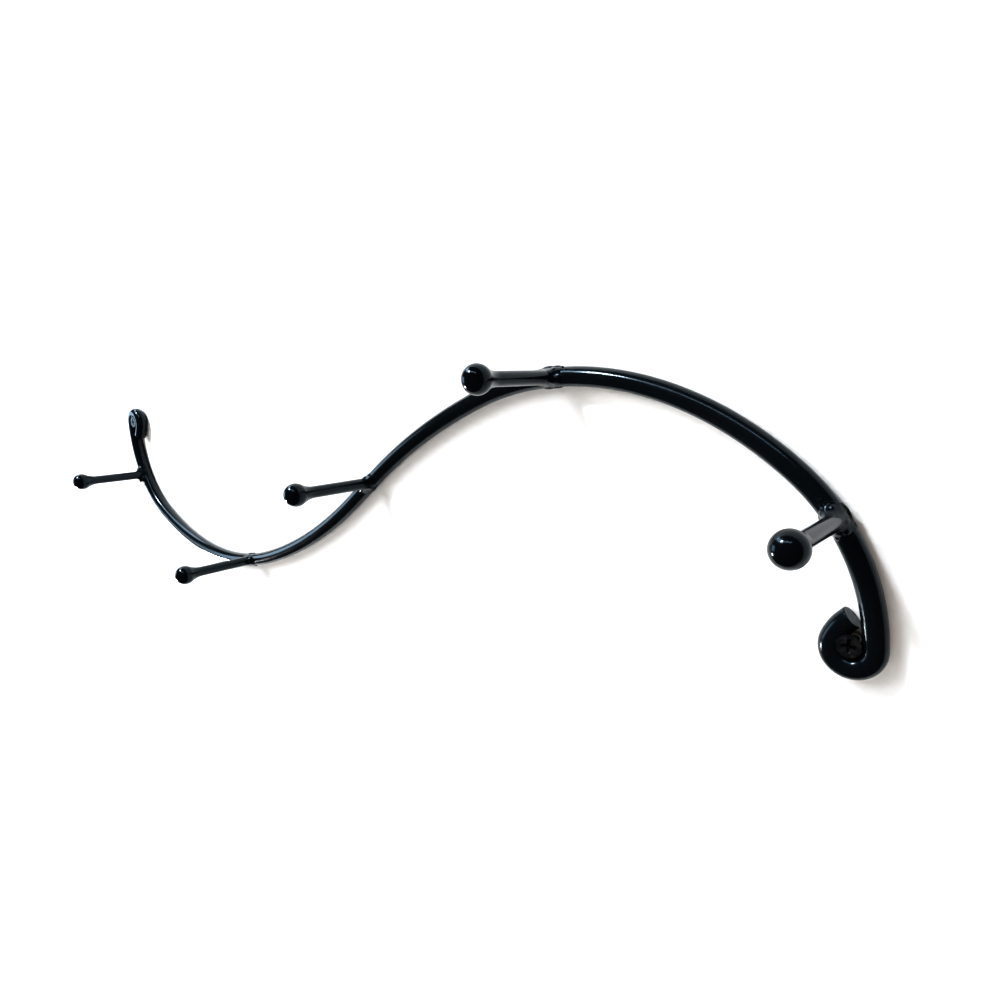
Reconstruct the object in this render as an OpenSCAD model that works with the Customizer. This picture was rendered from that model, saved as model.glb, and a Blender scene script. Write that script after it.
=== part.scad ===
// Wave hook rail: a round bar bent into a lying S, held to a wall by one screw
// through a curled eye at each end, with five ball-ended pegs welded square to it.
// X runs along the wall, +Z is up, and the wall's face is the plane y = 0.

/* [Bar] */
// Diameter of the bar over its enamel
bar_d = 8.4; // [7.5:0.1:9]
// Slope of the straight middle, degrees above level
middle_slope = 35.5; // [34.5:0.5:36.5]
// Half the length of the straight middle
middle_half = 13.5; // [11:0.5:16]
// Radius of the eye's loop at the bar's axis
eye_r = 7.1; // [6.8:0.1:7.4]
// Radius of the short tail that closes the eye
tail_r = 20; // [18:0.5:22]
// Turn of the tail, degrees
tail_turn = 29; // [20:1:30]

/* [Pegs] */
// Diameter of a peg
peg_d = 6.2; // [5.5:0.1:6.5]
// Distance from the bar's axis to the middle of a ball
peg_reach = 47.5; // [40:0.5:60]
// Diameter of a ball
ball_d = 12; // [11:0.5:14]
// Radius of the concave neck between ball and peg
neck_r = 16; // [8:0.5:20]
// How far a peg is let into its ball
seat_depth = 3; // [2:0.5:4]

/* [Welds] */
// How far the bead at a peg's root spreads over the bar
bead_r = 1.4; // [1:0.1:1.8]
// How far the bead climbs the peg
bead_h = 1.8; // [1.2:0.1:2.4]

/* [Screws and plugs] */
// Diameter of a screw's head
head_d = 8.2; // [8:0.1:8.6]
// Thread diameter of a screw
thread_d = 4; // [3.5:0.1:4.2]
// Length of a screw, from the top of its head
screw_length = 40; // [35:1:50]
// Diameter of a wall plug, and of the hole drilled for it
plug_d = 6; // [6:0.5:7]
// Length of a wall plug
plug_length = 30; // [25:1:35]

/* [Hidden] */
$fn = 48;

bar_r = bar_d / 2;
peg_r = peg_d / 2;
ball_r = ball_d / 2;
head_r = head_d / 2;
thread_r = thread_d / 2;
plug_r = plug_d / 2;

// The bends of each half, from the middle outwards: [radius at the axis, turn in degrees].
// The bar was bent by hand, so its two halves are not quite alike.
right_bends = [[330, 15.5], [148, 60], [79, 48], [eye_r, 203], [tail_r, tail_turn]];
left_bends = [[320, 19.5], [195, 46], [73, 64.5], [eye_r, 192], [tail_r, tail_turn]];
eye_bend = 3;

// Where the pegs stand, as lengths along the bar's axis from its middle, left to right
stations = [-316.5, -144.5, 6.5, 146.5, 278];

// Where each screw sits in its eye, from the eye's middle, as [right, up].
// The rail hangs on its screws, so both sit high.
right_shift = [-0.4, 1.6];
left_shift = [0, 0.4];

enamel = "#15181a";
enamel_ball = "#101315";
weld_black = "#202325";
screw_black = "#2a2a2e";
plug_grey = "#b9bcbd";

// ---- The bar's axis, as a chain of a straight run and tangent bends ----
// Both halves bend clockwise as they leave the middle, so the left half is the right
// half's kind of chain, turned half a turn about the middle.

// Heading at the start of bend i, in degrees
function heading(bends, i) = i == 0 ? middle_slope : heading(bends, i - 1) - bends[i - 1][1];

// Unit vector square to a heading, on the bend's inner side
function inward(h) = [sin(h), -cos(h)];

// Start of bend i, as [x, z]
function bend_start(bends, i) =
    i == 0
    ? middle_half * [cos(middle_slope), sin(middle_slope)]
    : bend_centre(bends, i - 1) - bends[i - 1][0] * inward(heading(bends, i));

// Centre of bend i, as [x, z]
function bend_centre(bends, i) = bend_start(bends, i) + bends[i][0] * inward(heading(bends, i));

// Length of bend i along the axis
function bend_length(bends, i) = bends[i][0] * bends[i][1] * PI / 180;

// Length along the axis from the middle to the start of bend i
function run_before(bends, i) = i == 0 ? middle_half : run_before(bends, i - 1) + bend_length(bends, i - 1);

// The bend that holds the point at length s along a half, or -1 for the straight middle
function bend_at(bends, s, i = 0) =
    s < middle_half ? -1 : s < run_before(bends, i) + bend_length(bends, i) ? i : bend_at(bends, s, i + 1);

// Point of a half's axis at length s, as [x, z]
function axis_point(bends, s) =
    let (i = bend_at(bends, s))
    i < 0
    ? s * [cos(middle_slope), sin(middle_slope)]
    : let (h = heading(bends, i) - (s - run_before(bends, i)) / bends[i][0] * 180 / PI)
      bend_centre(bends, i) - bends[i][0] * inward(h);

// Where a neck's concave curve leaves the ball, as [radius, distance below the ball's middle]
neck_reach = sqrt(pow(ball_r + neck_r, 2) - pow(peg_r + neck_r, 2));
neck_touch = ball_r / (ball_r + neck_r) * [peg_r + neck_r, neck_reach];
neck_steps = 10;

// Knuckles that join the tangent bends of the bar
joint_gap = 0.15;
knuckle_proud = 0.1;

function side_bends(s) = s < 0 ? left_bends : right_bends;

// ---- Placing helpers ----

// Puts what is drawn in a plan of [x, z] points on the plane of the bar's axis
module on_axis_plane() {
    translate([0, -bar_r, 0]) rotate([90, 0, 0]) children();
}

// Turns the right half's kind of thing into the left half's
module on_side(s) {
    rotate([0, s < 0 ? 180 : 0, 0]) children();
}

// Carries its children to the foot of a peg, with +Z pointing from the bar to the room
module at_station(s) {
    foot = axis_point(side_bends(s), abs(s));
    on_side(s) translate([foot[0], -bar_r, foot[1]]) rotate([90, 0, 0]) children();
}

// Carries its children to an eye's middle, with +Z pointing from the wall to the room
module at_eye(s, shift) {
    hub = bend_centre(side_bends(s), eye_bend);
    translate([sign(s) * hub[0] + shift[0], 0, sign(s) * hub[1] + shift[1]]) rotate([90, 0, 0]) children();
}

// ---- Bar ----

// A round rod along +X of the axis plane's own frame
module rod(x, length, r) {
    translate([x, 0, 0]) rotate([0, 90, 0]) cylinder(r = r, h = length);
}

// One bend of a half, short of its two joints by a gap that the knuckles bridge
module bend(bends, i) {
    hub = bend_centre(bends, i);
    trim = joint_gap / bends[i][0] * 180 / PI;
    start = heading(bends, i + 1) + 90 + trim;
    on_axis_plane() translate([hub[0], hub[1], 0])
        rotate_extrude(angle = bends[i][1] - 2 * trim, start = start) translate([bends[i][0], 0]) circle(r = bar_r);
}

// The straight middle
module middle() {
    on_axis_plane() rotate([0, 0, middle_slope])
        rod(joint_gap - middle_half, 2 * (middle_half - joint_gap), bar_r);
}

// A hair-proud ball where bend i starts, which makes the tangent runs one bar
module knuckle(bends, i) {
    p = bend_start(bends, i);
    on_axis_plane() translate([p[0], p[1], 0]) rotate([0, 0, heading(bends, i)])
        rotate([0, 90, 0]) sphere(r = bar_r + knuckle_proud);
}

module wave_bar() {
    color(enamel) {
        middle();
        for (s = [-1, 1]) {
            bends = side_bends(s);
            on_side(s) for (i = [0 : len(bends) - 1]) {
                bend(bends, i);
                knuckle(bends, i);
            }
        }
    }
}

// ---- Pegs, balls and their welds ----

// The stretch of bar that a peg stands on, seen from the peg's foot
module bar_under(s) {
    bends = side_bends(s);
    i = bend_at(bends, abs(s));
    foot = axis_point(bends, abs(s));
    rotate([-90, 0, 0]) translate([-foot[0], bar_r, -foot[1]]) {
        if (i < 0) middle();
        else bend(bends, i);
    }
}

module peg(s) {
    color(enamel) at_station(s) difference() {
        cylinder(r = peg_r, h = peg_reach - ball_r + seat_depth);
        bar_under(s);
    }
}

// A ball with a flat where its neck is welded on, and a seat for the peg
module ball(s) {
    color(enamel_ball) at_station(s) translate([0, 0, peg_reach]) difference() {
        sphere(r = ball_r);
        translate([0, 0, -neck_touch[1] - 2 * ball_r]) cylinder(r = 2 * ball_r, h = 2 * ball_r);
        translate([0, 0, -2 * ball_r]) cylinder(r = peg_r, h = ball_r + seat_depth);
    }
}

// A ring that runs from the ball's flat down to the peg in one concave curve
module neck_weld(s) {
    sweep = atan2(neck_reach, peg_r + neck_r);
    curve = [for (k = [0 : neck_steps]) let (a = 180 - sweep * k / neck_steps)
        [peg_r + neck_r, -neck_reach] + neck_r * [cos(a), sin(a)]];
    color(enamel) at_station(s) translate([0, 0, peg_reach]) rotate_extrude()
        polygon(concat([for (p = curve) if (p[0] > peg_r + 0.01) p], [[peg_r, -neck_touch[1]], [peg_r, -neck_reach]]));
}

// A bead round a peg's root: hollowed above, drawn in below, and cut to the bar
module root_weld(s) {
    hollow = [for (k = [1 : neck_steps]) let (a = 180 + 75 * k / neck_steps)
        [peg_r + bead_r, bar_r + bead_h] + [bead_r * cos(a), bead_h * sin(a)]];
    color(weld_black) at_station(s) difference() {
        rotate_extrude() polygon(concat(
            [[peg_r, bar_r + bead_h]], hollow, [[peg_r + bead_r * 0.35, bar_r / 2], [peg_r, bar_r * 0.4]]
        ));
        bar_under(s);
    }
}

// ---- Screws and plugs ----

rim_height = 0.25;
seat_gap = 0.05;

// Distance from a screw's middle to the bar's axis, where the bar comes nearest to it.
// The right screw is lifted towards its eye's open side, so it nears the arm or the tail;
// the left one is lifted towards the closed side, so it nears the loop.
function nearest_axis(s, shift) =
    let (bends = side_bends(s), p = bend_centre(bends, eye_bend) + s * shift)
    s < 0
    ? eye_r - norm(shift)
    : min([for (i = [eye_bend - 1, eye_bend + 1]) bends[i][0] - norm(p - bend_centre(bends, i))]);

// Height of a head's top above the wall, with its rim resting on the bar
function head_top(s, shift) =
    bar_r + sqrt(pow(bar_r, 2) - pow(nearest_axis(s, shift) - head_r, 2)) + seat_gap + rim_height;

module cross_recess() {
    recess_r = head_r * 0.62;
    recess_depth = 2.2;
    slot = 1.1;
    intersection() {
        union() {
            translate([-recess_r, -slot / 2, -recess_depth]) cube([2 * recess_r, slot, recess_depth + 1]);
            translate([-slot / 2, -recess_r, -recess_depth]) cube([slot, 2 * recess_r, recess_depth + 1]);
        }
        translate([0, 0, -recess_depth]) cylinder(r1 = slot * 0.7, r2 = recess_r * 1.1, h = recess_depth + 0.01);
    }
}

module screw(s, shift) {
    cone_h = head_r - thread_r * 0.75;
    shank_r = thread_r * 0.75;
    pitch = 1.8;
    tip_h = 4;
    smooth = 12;
    turns = floor((screw_length - smooth - tip_h) / pitch);
    color(screw_black) at_eye(s, shift) translate([0, 0, head_top(s, shift)]) {
        difference() {
            union() {
                translate([0, 0, -rim_height]) cylinder(r = head_r, h = rim_height);
                translate([0, 0, -rim_height - cone_h]) cylinder(r1 = shank_r, r2 = head_r, h = cone_h);
            }
            cross_recess();
        }
        translate([0, 0, -screw_length + tip_h]) cylinder(r = shank_r, h = screw_length - tip_h - rim_height - cone_h);
        translate([0, 0, -screw_length]) cylinder(r1 = 0.2, r2 = shank_r, h = tip_h);
        for (i = [0 : turns - 1]) {
            translate([0, 0, -screw_length + tip_h + (i + 0.5) * pitch]) {
                cylinder(r1 = shank_r, r2 = thread_r, h = pitch / 4);
                translate([0, 0, pitch / 4]) cylinder(r1 = thread_r, r2 = shank_r, h = pitch / 4);
            }
        }
    }
}

module wall_plug(s, shift) {
    plain = 10;
    groove = 2.5;
    slit = 0.8;
    grooves = floor((plug_length - plain - 4) / groove);
    color(plug_grey) at_eye(s, shift) rotate([180, 0, 0]) difference() {
        cylinder(r = plug_r, h = plug_length);
        translate([0, 0, -1]) cylinder(r = thread_r + 0.05, h = plug_length + 2);
        for (i = [0 : grooves - 1]) {
            translate([0, 0, plain + i * groove]) difference() {
                cylinder(r = plug_r + 1, h = groove);
                cylinder(r1 = plug_r - 0.6, r2 = plug_r, h = groove);
            }
        }
        translate([-plug_r - 1, -slit / 2, plain]) cube([2 * plug_r + 2, slit, plug_length]);
    }
}

wave_bar();
peg(stations[0]);  // peg_1
peg(stations[1]);  // peg_2
peg(stations[2]);  // peg_3
peg(stations[3]);  // peg_4
peg(stations[4]);  // peg_5
ball(stations[0]);  // ball_1
ball(stations[1]);  // ball_2
ball(stations[2]);  // ball_3
ball(stations[3]);  // ball_4
ball(stations[4]);  // ball_5
neck_weld(stations[0]);  // neck_weld_1
neck_weld(stations[1]);  // neck_weld_2
neck_weld(stations[2]);  // neck_weld_3
neck_weld(stations[3]);  // neck_weld_4
neck_weld(stations[4]);  // neck_weld_5
root_weld(stations[0]);  // root_weld_1
root_weld(stations[1]);  // root_weld_2
root_weld(stations[2]);  // root_weld_3
root_weld(stations[3]);  // root_weld_4
root_weld(stations[4]);  // root_weld_5
screw(-1, left_shift);  // screw_left
screw(1, right_shift);  // screw_right
wall_plug(-1, left_shift);  // wall_plug_left
wall_plug(1, right_shift);  // wall_plug_right
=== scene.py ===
"""Wave hook rail on a wall: detail meshes, finishes, wall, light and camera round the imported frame."""

import math
import random

import bpy
from mathutils import Matrix, Vector, noise


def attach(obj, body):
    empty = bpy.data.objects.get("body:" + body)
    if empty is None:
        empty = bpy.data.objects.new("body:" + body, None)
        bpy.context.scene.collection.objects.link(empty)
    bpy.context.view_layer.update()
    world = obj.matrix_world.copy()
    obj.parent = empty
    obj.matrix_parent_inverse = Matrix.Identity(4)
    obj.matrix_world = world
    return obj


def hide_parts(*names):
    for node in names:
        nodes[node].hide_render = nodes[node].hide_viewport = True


MM = 0.001

# ---- Sizes, in millimetres and degrees ----

BAR_R = 4.2
PEG_R = 3.1
# The bar's straight middle: its slope and half its length
MIDDLE_SLOPE = 35.5
MIDDLE_HALF = 13.5
# Bends from the middle outwards: (radius at the axis, turn)
RIGHT_BENDS = [(330, 15.5), (148, 60), (79, 48), (7.1, 203), (20, 29)]
LEFT_BENDS = [(320, 19.5), (195, 46), (73, 64.5), (7.1, 192), (20, 29)]
# Where the pegs stand, as lengths along the axis from the bar's middle
STATIONS = [-316.5, -144.5, 6.5, 146.5, 278]

# The bar's mesh: sides of a ring, and the longest step and turn between two rings
RING_SIDES = 56
RING_STEP = 2.5
RING_TURN = 5
# Radius of the edge at the bar's cut ends
END_ROUND = 0.45
# The paint's unevenness, and how far off the axis it is sampled
PAINT_WAVE = 0.05
PAINT_AT = 4

# Root beads: points around, and steps from the crest at the peg to the edge on the bar
BEAD_AROUND = 120
BEAD_ROWS = 22
# A bead is this wide across the bar, and that much wider along it
BEAD_WIDTH = 1.7
BEAD_EXTRA_ALONG = 3.0
BEAD_HEIGHT = 3.4
BEAD_CURVE = 2.1
WIDTH_UNEVEN = 0.35
HEIGHT_UNEVEN = 0.4
# How far the bead reaches into the peg at its crest and at its bottom, and into the bar at its edge
CREST_SINK = 0.06
BOTTOM_SINK = 0.4
EDGE_SINK = 0.12
BOTTOM_HEIGHT = 1.2
# Lumps on a bead: places from crest to edge as parts of its width, sizes, and spreads round it in radians
LUMPS = 18
LUMP_PLACES = (0.2, 0.95)
LUMP_SIZES = (0.4, 0.9)
LUMP_SPREADS = (0.1, 0.24)
LUMP_LENGTH = 0.15
LUMP_OUT = 0.6
LUMP_UP = 0.8
# Balls of spatter: how far past the peg's side they lie along the bar, how far across it, and their radii
SPATTER_BALLS = 7
SPATTER_NEAR = 2.8
SPATTER_FAR = 6.5
SPATTER_ACROSS = 3.9
SPATTER_SIZES = (0.22, 0.55)
SPATTER_FLATNESS = 0.8
FIRST_SEED = 61

# ---- The frame ----

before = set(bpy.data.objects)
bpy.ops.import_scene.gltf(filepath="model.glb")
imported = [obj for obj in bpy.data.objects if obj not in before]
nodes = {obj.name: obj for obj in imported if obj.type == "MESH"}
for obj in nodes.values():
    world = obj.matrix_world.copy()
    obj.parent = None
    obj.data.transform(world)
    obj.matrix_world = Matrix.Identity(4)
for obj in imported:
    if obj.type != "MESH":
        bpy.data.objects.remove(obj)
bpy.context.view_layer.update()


# ---- The bar's axis ----


def half_axis(bends):
    """Points of a half's axis from the middle outwards, as (length, x, z, heading)."""
    h = math.radians(MIDDLE_SLOPE)
    x = MIDDLE_HALF * math.cos(h)
    z = MIDDLE_HALF * math.sin(h)
    run = MIDDLE_HALF
    points = [(run, x, z, h)]
    for radius, turn in bends:
        centre_x = x + radius * math.sin(h)
        centre_z = z - radius * math.cos(h)
        length = radius * math.radians(turn)
        count = max(math.ceil(length / RING_STEP), math.ceil(turn / RING_TURN))
        for k in range(1, count + 1):
            g = h - math.radians(turn) * k / count
            x = centre_x - radius * math.sin(g)
            z = centre_z + radius * math.cos(g)
            points.append((run + length * k / count, x, z, g))
        h -= math.radians(turn)
        run += length
    return points


def axis_at(station):
    """Point of the axis at a signed length from the bar's middle, as (x, z, heading)."""
    points = half_axis(RIGHT_BENDS if station > 0 else LEFT_BENDS)
    s = abs(station)
    side = 1 if station > 0 else -1
    slope = math.radians(MIDDLE_SLOPE)
    if s < MIDDLE_HALF:
        return station * math.cos(slope), station * math.sin(slope), slope
    for a, b in zip(points, points[1:]):
        if s <= b[0]:
            t = (s - a[0]) / (b[0] - a[0])
            x = a[1] + (b[1] - a[1]) * t
            z = a[2] + (b[2] - a[2]) * t
            return side * x, side * z, a[3] + (b[3] - a[3]) * t
    raise ValueError("the station is off the bar")


# ---- Mesh helpers ----


def add_mesh(name, verts, faces, smooth=True):
    """A mesh object from points in millimetres."""
    mesh = bpy.data.meshes.new(name)
    mesh.from_pydata([tuple(c * MM for c in v) for v in verts], [], faces)
    mesh.validate()
    mesh.update()
    for polygon in mesh.polygons:
        polygon.use_smooth = smooth
    obj = bpy.data.objects.new(name, mesh)
    bpy.context.scene.collection.objects.link(obj)
    return obj


def add_piece(obj, material, slot, *replaced):
    """Puts a closed detail mesh on the root body in place of CAD nodes."""
    obj.data.materials.append(material)
    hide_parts(*replaced)
    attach(obj, "root")
    return obj


def tube_faces(rings, sides, start=0):
    """Quads between that many rings of points, the first of which starts at that point."""
    faces = []
    for r in range(rings - 1):
        for s in range(sides):
            a = start + r * sides + s
            b = start + r * sides + (s + 1) % sides
            faces.append((a, a + sides, b + sides, b))
    return faces


# ---- The bar ----


def bar_rings():
    """(x, z, heading, radius) of each ring, from the left end to the right end, all of the full radius."""
    left = [(-x, -z, h) for _, x, z, h in reversed(half_axis(LEFT_BENDS))]
    middle = []
    slope = math.radians(MIDDLE_SLOPE)
    steps = 5
    for k in range(1 - steps, steps):
        s = MIDDLE_HALF * k / steps
        middle.append((s * math.cos(slope), s * math.sin(slope), slope))
    right = [(x, z, h) for _, x, z, h in half_axis(RIGHT_BENDS)]
    return [(x, z, h, BAR_R) for x, z, h in left + middle + right]


def rounded_end(ring, way):
    """Rings that round the edge of a cut end. way is -1 at the left end and 1 at the right one."""
    x, z, h, radius = ring
    steps = 5
    rings = []
    for k in range(steps + 1):
        a = math.radians(90) * k / steps
        back = END_ROUND * (1 - math.sin(a)) * way
        shrink = END_ROUND * (1 - math.cos(a))
        rings.append((x - back * math.cos(h), z - back * math.sin(h), h, radius - shrink))
    return rings


def painted_radius(x, y, z, radius):
    """Radius with the slight unevenness of thick enamel, never over the nominal one."""
    long_waves = 0.09
    short_waves = 0.3
    apart = 90
    slow = noise.noise(Vector((x, y, z)) * long_waves)
    quick = noise.noise(Vector((x + apart, y, z)) * short_waves)
    return radius - PAINT_WAVE * (0.5 - 0.35 * slow - 0.15 * quick)


def build_bar():
    """One smooth length of round bar with both ends cut square."""
    rings = bar_rings()
    first = list(reversed(rounded_end(rings[0], -1)))
    last = rounded_end(rings[-1], 1)
    # The rings next to the ends are left out, as they would crowd the rounding
    rings = first + rings[2:-2] + last
    verts = []
    for x, z, h, radius in rings:
        for s in range(RING_SIDES):
            a = math.tau * s / RING_SIDES
            out_x = -math.sin(h) * math.cos(a)
            out_y = math.sin(a)
            out_z = math.cos(h) * math.cos(a)
            r = painted_radius(x + PAINT_AT * out_x, PAINT_AT * out_y, z + PAINT_AT * out_z, radius)
            verts.append((x + r * out_x, -BAR_R + r * out_y, z + r * out_z))
    faces = tube_faces(len(rings), RING_SIDES)
    last_ring = (len(rings) - 1) * RING_SIDES
    faces.append(tuple(range(RING_SIDES)))
    faces.append(tuple(reversed(range(last_ring, last_ring + RING_SIDES))))
    obj = add_mesh("bar", verts, faces)
    obj.data.polygons[-1].use_smooth = False
    obj.data.polygons[-2].use_smooth = False
    return obj


# ---- Welds at the pegs' roots ----


def draw_lumps(rng):
    """Lumps of a bead, as (angle, place from crest to edge, size, spread in radians)."""
    lumps = []
    for _ in range(LUMPS):
        angle = rng.uniform(0, math.tau)
        place = rng.uniform(*LUMP_PLACES)
        size = rng.uniform(*LUMP_SIZES)
        spread = rng.uniform(*LUMP_SPREADS)
        lumps.append((angle, place, size, spread))
    return lumps


def lump_swell(lumps, a, u):
    """How far the lumps swell the bead at an angle and a place from its crest to its edge."""
    swell = 0
    for angle, place, size, spread in lumps:
        da = (a - angle + math.pi) % math.tau - math.pi
        swell += size * math.exp(-((da / spread) ** 2) - ((u - place) / LUMP_LENGTH) ** 2)
    # The swelling dies away towards the crest and the edge
    return swell * math.sin(math.pi * min(u + 0.06, 1))


def bead_point(index, lumps, a, u):
    """Point of a bead in the peg's own frame: x along the bar, y across it, z out of the wall."""
    uneven = noise.noise(Vector((math.cos(a) * 1.3, math.sin(a) * 1.3, index * 7)))
    width = (BEAD_WIDTH + BEAD_EXTRA_ALONG * math.cos(a) ** 2) * (1 + WIDTH_UNEVEN * uneven)
    height = BEAD_HEIGHT * (1 + HEIGHT_UNEVEN * uneven)
    swell = lump_swell(lumps, a, u)
    rho = PEG_R - CREST_SINK + width * u
    rho += swell * LUMP_OUT
    # The bar's surface below the point, or its side where the point is past it
    across = min(abs(rho * math.sin(a)), BAR_R - 0.02)
    crown = math.sqrt(BAR_R**2 - across**2)
    lift = height * (1 - u) ** BEAD_CURVE + swell * LUMP_UP - EDGE_SINK * u
    return rho * math.cos(a), rho * math.sin(a), crown + lift


def build_root_bead(index, station):
    """A lumpy bead round a peg's root, with a few balls of spatter beside it."""
    rng = random.Random(FIRST_SEED + index)
    lumps = draw_lumps(rng)
    angles = [math.tau * j / BEAD_AROUND for j in range(BEAD_AROUND)]
    verts = [bead_point(index, lumps, a, k / BEAD_ROWS) for k in range(BEAD_ROWS + 1) for a in angles]
    bottom_r = PEG_R - BOTTOM_SINK
    verts.extend((bottom_r * math.cos(a), bottom_r * math.sin(a), BOTTOM_HEIGHT) for a in angles)
    faces = tube_faces(BEAD_ROWS + 2, BEAD_AROUND)
    bottom = (BEAD_ROWS + 1) * BEAD_AROUND
    for j in range(BEAD_AROUND):
        n = (j + 1) % BEAD_AROUND
        faces.append((j, n, bottom + n, bottom + j))
    for _ in range(SPATTER_BALLS):
        along = rng.choice((-1, 1)) * rng.uniform(PEG_R + SPATTER_NEAR, PEG_R + SPATTER_FAR)
        across = rng.uniform(-SPATTER_ACROSS, SPATTER_ACROSS)
        size = rng.uniform(*SPATTER_SIZES)
        add_spatter(verts, faces, (along, across, math.sqrt(BAR_R**2 - across**2)), size)
    x, z, h = axis_at(station)
    turn = Matrix(((math.cos(h), -math.sin(h), 0), (0, 0, -1), (math.sin(h), math.cos(h), 0)))
    placed = []
    for v in verts:
        p = turn @ Vector(v)
        placed.append((x + p.x, -BAR_R + p.y, z + p.z))
    return add_mesh(f"root_bead_{index}", placed, faces)


def add_spatter(verts, faces, centre, size):
    """One flattened ball of weld spatter sunk in the bar's surface."""
    start = len(verts)
    sides = 12
    rings = 7
    for r in range(1, rings):
        lat = math.pi * r / rings
        for s in range(sides):
            a = math.tau * s / sides
            verts.append((
                centre[0] + size * math.sin(lat) * math.cos(a),
                centre[1] + size * math.sin(lat) * math.sin(a),
                centre[2] + SPATTER_FLATNESS * size * math.cos(lat),
            ))
    faces.extend(tube_faces(rings - 1, sides, start))
    faces.append(tuple(range(start, start + sides)))
    low = start + (rings - 2) * sides
    faces.append(tuple(reversed(range(low, low + sides))))


# ---- Finishes ----


def new_material(name):
    """A node material with a Principled shader: (material, tree, shader)."""
    material = bpy.data.materials.new(name)
    material.use_nodes = True
    tree = material.node_tree
    return material, tree, tree.nodes["Principled BSDF"]


def object_noise(tree, scale, detail=3.0, rough=0.5):
    """A noise texture fixed to the object: its Fac socket."""
    coords = tree.nodes.new("ShaderNodeTexCoord")
    texture = tree.nodes.new("ShaderNodeTexNoise")
    texture.inputs["Scale"].default_value = scale
    texture.inputs["Detail"].default_value = detail
    texture.inputs["Roughness"].default_value = rough
    tree.links.new(coords.outputs["Object"], texture.inputs["Vector"])
    return texture.outputs["Fac"]


def remap(tree, socket, low, high, out_low, out_high):
    """A socket's range low..high mapped on out_low..out_high."""
    node = tree.nodes.new("ShaderNodeMapRange")
    node.inputs["From Min"].default_value = low
    node.inputs["From Max"].default_value = high
    node.inputs["To Min"].default_value = out_low
    node.inputs["To Max"].default_value = out_high
    tree.links.new(socket, node.inputs["Value"])
    return node.outputs["Result"]


def mix_colour(tree, factor, colour_a, colour_b):
    """Colour a where the factor is 0 and colour b where it is 1."""
    node = tree.nodes.new("ShaderNodeMix")
    node.data_type = "RGBA"
    # The node has one socket of each name for every data type, so its colour sockets go by number
    node.inputs[6].default_value = (*colour_a, 1)
    node.inputs[7].default_value = (*colour_b, 1)
    tree.links.new(factor, node.inputs[0])
    return node.outputs[2]


def bump(tree, shader, socket, strength, distance):
    """Bumps a shader by a height socket."""
    node = tree.nodes.new("ShaderNodeBump")
    node.inputs["Strength"].default_value = strength
    node.inputs["Distance"].default_value = distance
    tree.links.new(socket, node.inputs["Height"])
    tree.links.new(node.outputs["Normal"], shader.inputs["Normal"])


def enamel(name, colour, worn, rough_low, rough_high, peel):
    """Thick black enamel with uneven gloss, orange peel and a little dust in its colour."""
    material, tree, shader = new_material(name)
    broad = object_noise(tree, 38, 4)
    dust = remap(tree, object_noise(tree, 900, 5, 0.7), 0.62, 0.78, 0, 1)
    tree.links.new(mix_colour(tree, dust, colour, worn), shader.inputs["Base Color"])
    tree.links.new(remap(tree, broad, 0.35, 0.65, rough_low, rough_high), shader.inputs["Roughness"])
    shader.inputs["Specular IOR Level"].default_value = 0.3
    shader.inputs["Specular Tint"].default_value = (0.7, 0.87, 1.0, 1)
    bump(tree, shader, object_noise(tree, 700, 2), peel, 0.0002)
    return material


def screw_finish():
    """Black phosphate with faint scuffs."""
    material, tree, shader = new_material("screw_black")
    scuff = remap(tree, object_noise(tree, 520, 6, 0.7), 0.5, 0.72, 0, 1)
    colour = mix_colour(tree, scuff, (0.008, 0.008, 0.009), (0.04, 0.037, 0.035))
    tree.links.new(colour, shader.inputs["Base Color"])
    shader.inputs["Metallic"].default_value = 0.35
    tree.links.new(remap(tree, scuff, 0, 1, 0.38, 0.52), shader.inputs["Roughness"])
    bump(tree, shader, object_noise(tree, 1500, 3), 0.25, 0.0002)
    return material


def plug_finish():
    """Grey nylon."""
    material, tree, shader = new_material("plug_nylon")
    mottle = object_noise(tree, 300, 3)
    colour = mix_colour(tree, mottle, (0.42, 0.44, 0.45), (0.52, 0.54, 0.55))
    tree.links.new(colour, shader.inputs["Base Color"])
    shader.inputs["Roughness"].default_value = 0.5
    bump(tree, shader, object_noise(tree, 900, 2), 0.2, 0.0002)
    return material


BAR_ENAMEL = enamel("bar_enamel", (0.0045, 0.006, 0.0075), (0.02, 0.022, 0.024), 0.13, 0.2, 0.12)
BALL_ENAMEL = enamel("ball_enamel", (0.0035, 0.0045, 0.0055), (0.014, 0.015, 0.016), 0.1, 0.16, 0.1)
WELD_ENAMEL = enamel("weld_enamel", (0.004, 0.005, 0.006), (0.02, 0.021, 0.022), 0.12, 0.2, 0.2)
SCREW_BLACK = screw_finish()
PLUG_NYLON = plug_finish()

for node_name, node_object in nodes.items():
    if node_name.startswith("ball"):
        chosen = BALL_ENAMEL
    elif node_name.startswith("root_weld"):
        chosen = WELD_ENAMEL
    elif node_name.startswith("screw"):
        chosen = SCREW_BLACK
    elif node_name.startswith("wall_plug"):
        chosen = PLUG_NYLON
    else:
        chosen = BAR_ENAMEL
    node_object.data.materials.clear()
    node_object.data.materials.append(chosen)

# ---- Detail pieces ----

add_piece(build_bar(), BAR_ENAMEL, "bar_enamel", "wave_bar")
for number, station in enumerate(STATIONS, start=1):
    add_piece(build_root_bead(number, station), WELD_ENAMEL, "weld_enamel", f"root_weld_{number}")

# ---- Wall and floor ----


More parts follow.
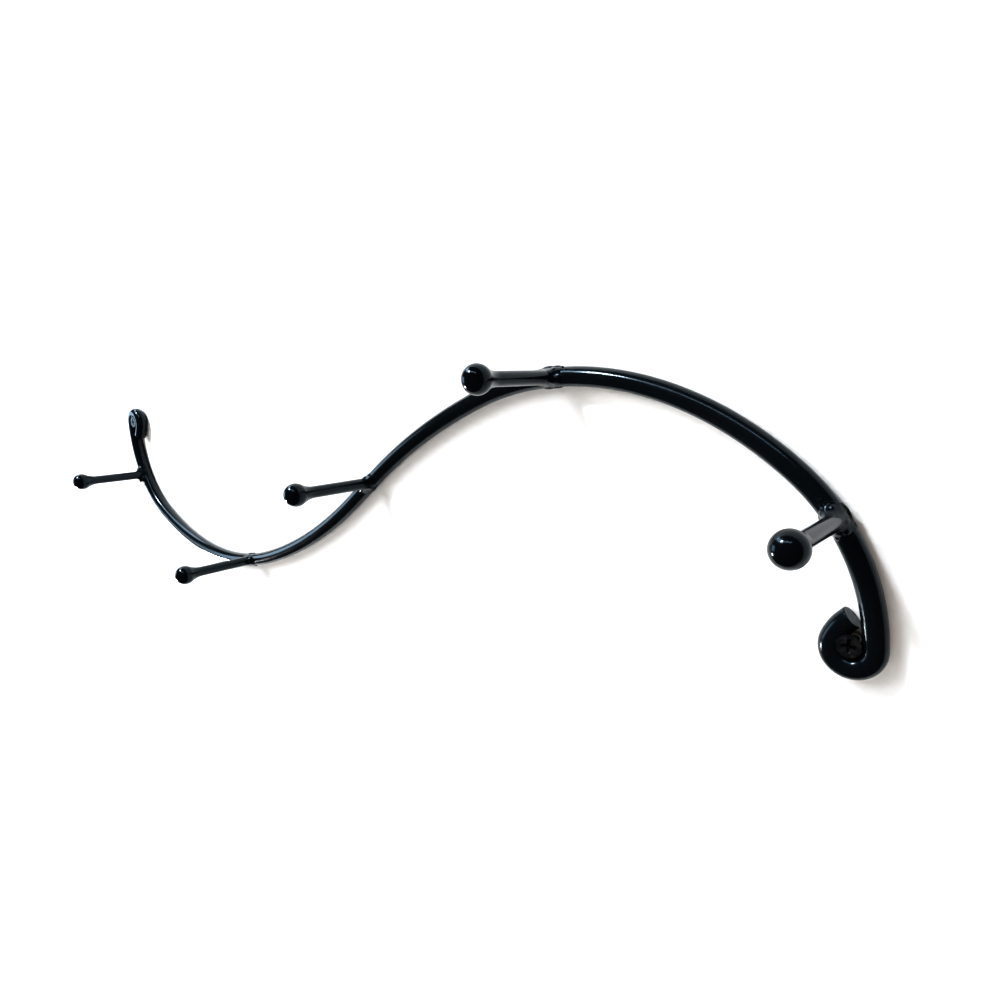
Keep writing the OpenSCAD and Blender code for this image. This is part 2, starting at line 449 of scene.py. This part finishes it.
def wall_finish():
    """White plaster paint, see-through from behind so that the rail's back can be seen."""
    material, tree, shader = new_material("wall_paint")
    colour = mix_colour(tree, object_noise(tree, 9, 4), (0.86, 0.86, 0.87), (0.9, 0.9, 0.9))
    tree.links.new(colour, shader.inputs["Base Color"])
    shader.inputs["Roughness"].default_value = 0.75
    bump(tree, shader, object_noise(tree, 240, 6, 0.6), 0.6, 0.0008)
    geometry = tree.nodes.new("ShaderNodeNewGeometry")
    clear = tree.nodes.new("ShaderNodeBsdfTransparent")
    mixer = tree.nodes.new("ShaderNodeMixShader")
    output = tree.nodes["Material Output"]
    tree.links.new(geometry.outputs["Backfacing"], mixer.inputs[0])
    tree.links.new(shader.outputs[0], mixer.inputs[1])
    tree.links.new(clear.outputs[0], mixer.inputs[2])
    tree.links.new(mixer.outputs[0], output.inputs["Surface"])
    return material


def add_backdrop():
    """Pale surroundings far off, which are only seen: they don't light the rail or mirror in it."""
    material, tree, shader = new_material("backdrop")
    glow = tree.nodes.new("ShaderNodeEmission")
    glow.inputs["Color"].default_value = (0.8, 0.82, 0.85, 1)
    glow.inputs["Strength"].default_value = 0.55
    tree.links.new(glow.outputs[0], tree.nodes["Material Output"].inputs["Surface"])
    tree.nodes.remove(shader)
    half = 7000
    low = -5000
    high = 6000
    corners = [(-half, -half), (half, -half), (half, half), (-half, half)]
    verts = [(x, y, z) for z in (low, high) for x, y in corners]
    faces = [(0, 1, 5, 4), (1, 2, 6, 5), (2, 3, 7, 6), (3, 0, 4, 7), (4, 5, 6, 7), (0, 3, 2, 1)]
    backdrop = add_mesh("backdrop", verts, faces, smooth=False)
    backdrop.data.materials.append(material)
    backdrop.visible_glossy = False
    backdrop.visible_diffuse = False
    backdrop.visible_shadow = False


def add_stage():
    """The wall the rail hangs on, and a pale floor well below it."""
    half = 4000
    low = -900
    high = 3000
    square = [(0, 1, 2, 3)]
    wall = add_mesh("wall", [(-half, 0, low), (half, 0, low), (half, 0, high), (-half, 0, high)], square)
    wall.data.materials.append(wall_finish())
    floor_material, _, floor_shader = new_material("floor_paint")
    floor_shader.inputs["Base Color"].default_value = (0.78, 0.77, 0.75, 1)
    floor_shader.inputs["Roughness"].default_value = 0.8
    corners = [(-half, -half, low), (half, -half, low), (half, half, low), (-half, half, low)]
    floor = add_mesh("floor", corners, square)
    floor.data.materials.append(floor_material)
    floor.visible_glossy = False
    add_backdrop()


add_stage()

# ---- Light ----


def add_area(name, way, distance, size, power, colour, lights=True, mirrors=True):
    """An area light that way from the rail's middle, at a distance in metres, turned to it.

    lights says whether it lights matt surfaces, and mirrors whether it shows in glossy ones.
    """
    data = bpy.data.lights.new(name, "AREA")
    data.shape = "RECTANGLE"
    data.size = size[0]
    data.size_y = size[1]
    data.energy = power
    data.color = colour
    obj = bpy.data.objects.new(name, data)
    obj.location = Vector(way).normalized() * distance
    obj.rotation_euler = (-Vector(way)).to_track_quat("-Z", "Y").to_euler()
    obj.visible_diffuse = lights
    obj.visible_glossy = mirrors
    bpy.context.scene.collection.objects.link(obj)


def add_light():
    """A lamp high on the left, a window and the warm room, and highlights that show in the enamel alone."""
    add_area("lamp", (-0.38, -0.55, 0.75), 2.0, (0.3, 0.22), 24, (0.9, 0.96, 1.0))
    add_area("window", (-0.5, -0.75, 0.5), 2.4, (1.3, 1.1), 30, (0.94, 0.98, 1.0), mirrors=False)
    add_area("room", (0.3, -0.95, 0.1), 2.6, (2.8, 2.4), 13, (1.0, 0.84, 0.7), mirrors=False)
    add_area("far_window", (-0.93, -0.33, 0.02), 2.4, (0.9, 1.0), 8, (0.62, 0.82, 1.0), lights=False)
    add_area("glint", (-0.88, -0.2, -0.44), 1.6, (0.24, 0.2), 10, (1.0, 1.0, 1.0), lights=False)
    add_area("ceiling_tube", (0.05, -0.62, 0.8), 2.0, (1.7, 0.1), 6, (0.75, 0.88, 1.0), lights=False)
    add_area("sky", (-0.65, -0.24, 0.72), 2.3, (1.4, 0.6), 14, (0.6, 0.82, 1.0), lights=False)
    world = bpy.data.worlds.new("room_world")
    world.use_nodes = True
    background = world.node_tree.nodes["Background"]
    background.inputs["Color"].default_value = (0.7, 0.85, 1.0, 1)
    background.inputs["Strength"].default_value = 0.05
    bpy.context.scene.world = world


add_light()

# ---- Camera ----


def add_camera():
    """A wide lens close to the wall, near the right eye, looking left along the rail."""
    place = Vector((0.31075, -0.24363, 0.05747))
    azimuth = 0.6903
    elevation = 0.2023
    roll = -0.0282
    ahead = Vector((-math.sin(azimuth), math.cos(azimuth), 0))
    forward = ahead * math.cos(elevation) - Vector((0, 0, math.sin(elevation)))
    level = Vector((math.cos(azimuth), math.sin(azimuth), 0))
    down = forward.cross(level)
    right = math.cos(roll) * level - math.sin(roll) * down
    drop = math.sin(roll) * level + math.cos(roll) * down
    turn = Matrix((right, -drop, -forward)).transposed()
    data = bpy.data.cameras.new("camera")
    data.sensor_width = 36
    data.lens = 24.8
    data.shift_x = -0.0219
    data.shift_y = 0.0209
    data.clip_start = 0.01
    data.clip_end = 20
    camera = bpy.data.objects.new("camera", data)
    camera.matrix_world = Matrix.Translation(place) @ turn.to_4x4()
    bpy.context.scene.collection.objects.link(camera)
    bpy.context.scene.camera = camera


add_camera()

view = bpy.context.scene.view_settings
view.view_transform = "Standard"
view.look = "High Contrast"
view.exposure = 0.4
